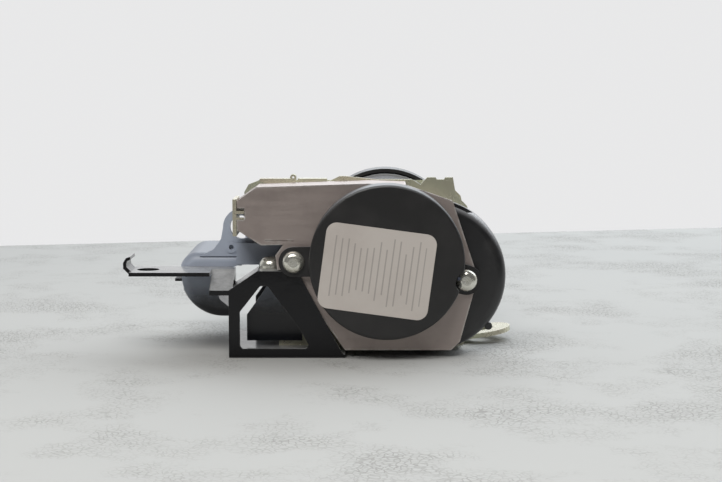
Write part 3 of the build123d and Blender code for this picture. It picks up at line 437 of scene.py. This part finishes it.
# Painted reflection: the upper half is painted blue-grey, with a wavy lower edge and less of it on faces that
# point straight up.
reflection_edge_noise = marks(tree, place, 40.0, 0.55)
height = add(tree, "ShaderNodeSeparateXYZ", {}, {"Vector": place}).outputs["Z"]
reflection_edge_height = maths(tree, "MULTIPLY_ADD", reflection_edge_noise, 0.006, height)
upper = ranged(tree, reflection_edge_height, (0.0175, 0.0335), interpolation_type="SMOOTHSTEP")
facing = add(tree, "ShaderNodeTexCoord").outputs["Normal"]
upward = add(tree, "ShaderNodeSeparateXYZ", {}, {"Vector": facing}).outputs["Z"]
reflection_weakened_on_top = ranged(tree, upward, (0.2, 0.9), (1.0, 0.5))
painted_sky_reflection = maths(tree, "MULTIPLY", upper, reflection_weakened_on_top)
colour(tree, shader, (0.008, 0.009, 0.013), (0.36, 0.40, 0.48), painted_sky_reflection)
roughen(tree, shader, upper, 0.20, 0.42)
grain = grains(tree, place, 240.0)
bump(tree, shader, grain, 0.06, 0.0003)
dress(guide_skin, "webbing_guide")


# ---------------------------------------------------------------------------
# Label: a pale film sticker with rounded corners, bare but for fine ruled
# lines of differing length; its adhesive has let the film ripple very slightly.
# ---------------------------------------------------------------------------
LABEL_TILT = math.radians(7.6)
RULE_PITCH, RULE_SHARE, RULES_HALF_WIDTH = 0.00265, 0.22, 0.0190
RULE_HALF_LENGTHS = (0.0085, 0.0148)
film, tree, shader = plain_material("label film", (0.53, 0.48, 0.44), 0.0, 0.5)
place = add(tree, "ShaderNodeTexCoord").outputs["Object"]
label_low, label_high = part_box("cover_label")
label_middle = [(a + b) / 2 for a, b in zip(label_low, label_high)]
centred = add(tree, "ShaderNodeVectorMath", {1: tuple(label_middle)}, {0: place}, operation="SUBTRACT")
turned_label = add(tree, "ShaderNodeMapping", {"Rotation": (0.0, -LABEL_TILT, 0.0)},
                   {"Vector": centred.outputs["Vector"]})
axes = add(tree, "ShaderNodeSeparateXYZ", {}, {"Vector": turned_label.outputs["Vector"]})
aged = marks(tree, place, 30.0, 0.5)
paper = blend_colours(tree, (0.56, 0.515, 0.475), (0.47, 0.42, 0.385), aged)
across_rows = maths(tree, "MULTIPLY", axes.outputs["X"], 1 / RULE_PITCH)
row_phase = maths(tree, "FRACT", across_rows)
in_row = maths(tree, "LESS_THAN", row_phase, RULE_SHARE)
from_middle = maths(tree, "ABSOLUTE", axes.outputs["Z"])
row_number = maths(tree, "FLOOR", across_rows)
row_share = add(tree, "ShaderNodeTexWhiteNoise", {}, {"W": row_number}, noise_dimensions="1D")
row_end = spread(tree, row_share.outputs["Value"], *RULE_HALF_LENGTHS)
in_length = maths(tree, "LESS_THAN", from_middle, row_end)
from_side = maths(tree, "ABSOLUTE", axes.outputs["X"])
in_width = maths(tree, "LESS_THAN", from_side, RULES_HALF_WIDTH)
ruled = maths(tree, "MULTIPLY", in_row, in_length)
ruled = maths(tree, "MULTIPLY", ruled, in_width)
ink = maths(tree, "MULTIPLY", ruled, 0.45)
colour(tree, shader, paper, (0.20, 0.18, 0.17), ink)
ripple = grains(tree, place, 55.0)
bump(tree, shader, ripple, 0.10, 0.0005)
dress(film, "cover_label")


# ---------------------------------------------------------------------------
# Works inside: machined and oiled steel for the gears, rack, tube, lock and
# screws, with fine turning marks and a thin brown film of oil.
# ---------------------------------------------------------------------------
machined, tree, shader = plain_material("machined steel", (0.42, 0.41, 0.40), 0.95, 0.3)
place = add(tree, "ShaderNodeTexCoord").outputs["Object"]
oil = marks(tree, place, 90.0, 0.5)
colour(tree, shader, (0.45, 0.44, 0.43), (0.27, 0.24, 0.20), oil)
roughen(tree, shader, oil, 0.22, 0.40)
grain = grains(tree, place, 900.0)
bump(tree, shader, grain, 0.15, 0.0001)
dress(machined, "pretensioner_tube", "gas_generator", "rack_piston", "ring_gear", "drive_pinion",
      "torsion_bar", "bracket_rivets", "ratchet_wheel", "locking_pawl", "pawl_pin", "sensor_ball",
      "cover_screws")


# ---------------------------------------------------------------------------
# Mainspring: hard rolled strip, tempered to a dark blue and lightly greased.
# ---------------------------------------------------------------------------
tempered, tree, shader = plain_material("tempered strip", (0.10, 0.12, 0.20), 0.9, 0.28)
place = add(tree, "ShaderNodeTexCoord").outputs["Object"]
temper = marks(tree, place, 70.0, 0.5)
colour(tree, shader, (0.09, 0.12, 0.22), (0.20, 0.17, 0.19), temper)
dress(tempered, "mainspring")


# ---------------------------------------------------------------------------
# Spool: die-cast aluminium, pale and slightly grainy, with darker flow marks.
# ---------------------------------------------------------------------------
cast, tree, shader = plain_material("die-cast aluminium", (0.50, 0.50, 0.50), 0.9, 0.45)
place = add(tree, "ShaderNodeTexCoord").outputs["Object"]
flow = marks(tree, place, 45.0, 0.5)
colour(tree, shader, (0.54, 0.54, 0.54), (0.38, 0.375, 0.37), flow)
grain = grains(tree, place, 1100.0)
bump(tree, shader, grain, 0.3, 0.0001)
dress(cast, "spool")


# ---------------------------------------------------------------------------
# Bushes, arbor, disc and ball carrier: natural acetal, a warm milky white.
# ---------------------------------------------------------------------------
acetal, tree, shader = plain_material("natural acetal", (0.70, 0.68, 0.62), 0.0, 0.38)
shader.inputs["Subsurface Weight"].default_value = 0.15
shader.inputs["Subsurface Scale"].default_value = 0.002
place = add(tree, "ShaderNodeTexCoord").outputs["Object"]
greased = marks(tree, place, 60.0, 0.5)
colour(tree, shader, (0.72, 0.70, 0.64), (0.55, 0.51, 0.44), greased)
dress(acetal, "shaft_bushes", "spring_arbor", "control_disc", "sensor_housing")


# ---------------------------------------------------------------------------
# Webbing: black woven polyester, 47 mm wide, with raised lengthwise ribs in a
# herringbone, wound in about fourteen turns and led out through the guide.
# ---------------------------------------------------------------------------
weave_group, weave_in, weave_out = new_group(
    "herringbone weave",
    [("Vector", "NodeSocketVector", None), ("Rib", "NodeSocketFloat", 0.0013),
     ("Band", "NodeSocketFloat", 0.0078)],
    [("Height", "NodeSocketFloat"), ("Shade", "NodeSocketFloat")],
)
cloth_axes = add(weave_group, "ShaderNodeSeparateXYZ", {}, {"Vector": weave_in.outputs["Vector"]})
bands = maths(weave_group, "PINGPONG", cloth_axes.outputs["Y"], weave_in.outputs["Band"])
slant = maths(weave_group, "ADD", cloth_axes.outputs["X"], bands)
yarn = maths(weave_group, "DIVIDE", slant, weave_in.outputs["Rib"])
yarn_turn = maths(weave_group, "MULTIPLY", yarn, 2 * math.pi)
yarn_wave = maths(weave_group, "SINE", yarn_turn)
rib = maths(weave_group, "DIVIDE", cloth_axes.outputs["Y"], weave_in.outputs["Rib"])
rib_turn = maths(weave_group, "MULTIPLY", rib, 2 * math.pi)
rib_wave = maths(weave_group, "SINE", rib_turn)
woven = maths(weave_group, "MULTIPLY_ADD", yarn_wave, 0.5, 0.5)
woven = maths(weave_group, "MULTIPLY_ADD", rib_wave, 0.25, woven)
weave_group.links.new(woven, weave_out.inputs["Height"])
shade = ranged(weave_group, woven, (-0.2, 1.2))
weave_group.links.new(shade, weave_out.inputs["Shade"])



def webbing_finish(name, by_strip):
    """Woven by the strip's own length and width where it is wound, and by its place where it pays out."""
    made, tree, shader = plain_material(name, (0.02, 0.02, 0.022), 0.0, 0.6)
    shader.inputs["Sheen Weight"].default_value = 0.25
    shader.inputs["Sheen Roughness"].default_value = 0.4
    if by_strip:
        cloth = add(tree, "ShaderNodeUVMap", uv_map="strip").outputs["UV"]
    else:
        cloth = add(tree, "ShaderNodeTexCoord").outputs["Object"]
    weave = effect(tree, weave_group, {"Rib": 0.0013, "Band": 0.0078}, {"Vector": cloth})
    # Painted shade in the weave: raised yarn is painted lighter and the grooves darker.
    groove_shaded_threads = blend_colours(tree, (0.008, 0.008, 0.009), (0.040, 0.040, 0.044), weave.outputs["Shade"])
    tree.links.new(groove_shaded_threads, shader.inputs["Base Color"])
    roughen(tree, shader, weave.outputs["Shade"], 0.75, 0.48)
    bump(tree, shader, weave.outputs["Height"], 0.7, 0.0003)
    return made



roll_low, roll_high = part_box("webbing_roll")
tail_low, tail_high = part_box("webbing_tail")
ROLL_R = (roll_high[0] - roll_low[0]) / 2
HUB_R = 0.0122
WEBBING_T, LAYER_SHARE = 0.0012, 0.94
STEPS_PER_TURN = 56
WEBBING_W = roll_high[1] - roll_low[1]
MIDDLE_Y = (roll_low[1] + roll_high[1]) / 2
LEVEL_BEFORE_TAIL = 0.0060
MOUTH = (tail_high[0] + LEVEL_BEFORE_TAIL, (tail_low[2] + tail_high[2]) / 2)


def wind(name, points, steps, finish):
    """A flat strip bent along a line in the plane of the roll, as thick and wide as the webbing."""
    length = sum(math.dist(a, b) for a, b in zip(points, points[1:]))
    path = bpy.data.curves.new(name + "_path", "CURVE")
    path.dimensions = "2D"
    spline = path.splines.new("POLY")
    spline.points.add(len(points) - 1)
    for point, (x, z) in zip(spline.points, points):
        point.co = (x, z, 0.0, 1.0)
    guide_line = bpy.data.objects.new(name + "_path", path)
    bpy.context.scene.collection.objects.link(guide_line)
    bpy.ops.object.select_all(action="DESELECT")
    bpy.ops.mesh.primitive_grid_add(x_subdivisions=steps, y_subdivisions=4, size=1.0)
    strip = bpy.context.object
    strip.name = name
    strip.data.uv_layers[0].name = "strip"
    for loop in strip.data.uv_layers["strip"].data:
        loop.uv = (loop.uv[0] * length, loop.uv[1] * WEBBING_W)
    bpy.ops.object.mode_set(mode="EDIT")
    bpy.ops.transform.resize(value=(length, WEBBING_W, 1.0))
    bpy.ops.transform.translate(value=(length / 2, 0.0, 0.0))
    bpy.ops.transform.rotate(value=math.radians(90), orient_axis="X", center_override=(0.0, 0.0, 0.0))
    bpy.ops.object.mode_set(mode="OBJECT")
    bend = strip.modifiers.new("bend", "CURVE")
    bend.object = guide_line
    bpy.ops.object.modifier_apply(modifier="bend")
    thick = strip.modifiers.new("thickness", "SOLIDIFY")
    thick.thickness = WEBBING_T * LAYER_SHARE
    thick.offset = 0.0
    bpy.ops.object.modifier_apply(modifier="thickness")
    bpy.ops.object.mode_set(mode="EDIT")
    bpy.ops.mesh.select_all(action="SELECT")
    bpy.ops.mesh.normals_make_consistent(inside=False)
    bpy.ops.object.mode_set(mode="OBJECT")
    strip.data.transform(Matrix(((1, 0, 0, 0), (0, 0, -1, MIDDLE_Y), (0, 1, 0, 0), (0, 0, 0, 1))))
    bpy.data.objects.remove(guide_line)
    bpy.ops.object.shade_smooth_by_angle(angle=math.radians(40))
    strip.data.materials.append(finish)
    return strip


outer_r = ROLL_R - WEBBING_T / 2
reach = (MOUTH[0] - SPOOL_X, MOUTH[1] - SPOOL_Z)
leave = math.atan2(reach[1], reach[0]) + 2 * math.pi - math.acos(outer_r / math.hypot(*reach))
turns = (outer_r - HUB_R) / WEBBING_T
spiral = []
for step in range(int(turns * STEPS_PER_TURN) + 1):
    back = 2 * math.pi * step / STEPS_PER_TURN
    radius = outer_r - WEBBING_T * back / (2 * math.pi)
    angle = leave - back
    spiral.append((SPOOL_X + radius * math.cos(angle), SPOOL_Z + radius * math.sin(angle)))
roll = wind("wound_webbing", spiral, len(spiral) - 1, webbing_finish("wound polyester", by_strip=True))
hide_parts("webbing_roll")
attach(roll, "spool_assembly")

leave_point = spiral[0]
bend_back = 0.0025
slope = math.atan2(leave_point[1] - MOUTH[1], leave_point[0] - MOUTH[0])
before = (MOUTH[0] + bend_back * math.cos(slope), MOUTH[1] + bend_back * math.sin(slope))
after = (MOUTH[0] - bend_back, MOUTH[1])
rounded_mouth = []
for step in range(9):
    t = step / 8
    rounded_mouth.append(tuple((1 - t) ** 2 * a + 2 * t * (1 - t) * m + t * t * b
                               for a, m, b in zip(before, MOUTH, after)))
run = [leave_point]
for step in range(1, 12):
    t = step / 12
    run.append(tuple(a + (b - a) * t for a, b in zip(leave_point, before)))
run += rounded_mouth
level_end = (tail_low[0], MOUTH[1])
for step in range(1, 9):
    t = step / 8
    run.append((after[0] + (level_end[0] - after[0]) * t, MOUTH[1]))
free_strip = wind("free_webbing", run, 64, webbing_finish("free polyester", by_strip=False))
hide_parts("webbing_run", "webbing_tail")
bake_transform(free_strip)
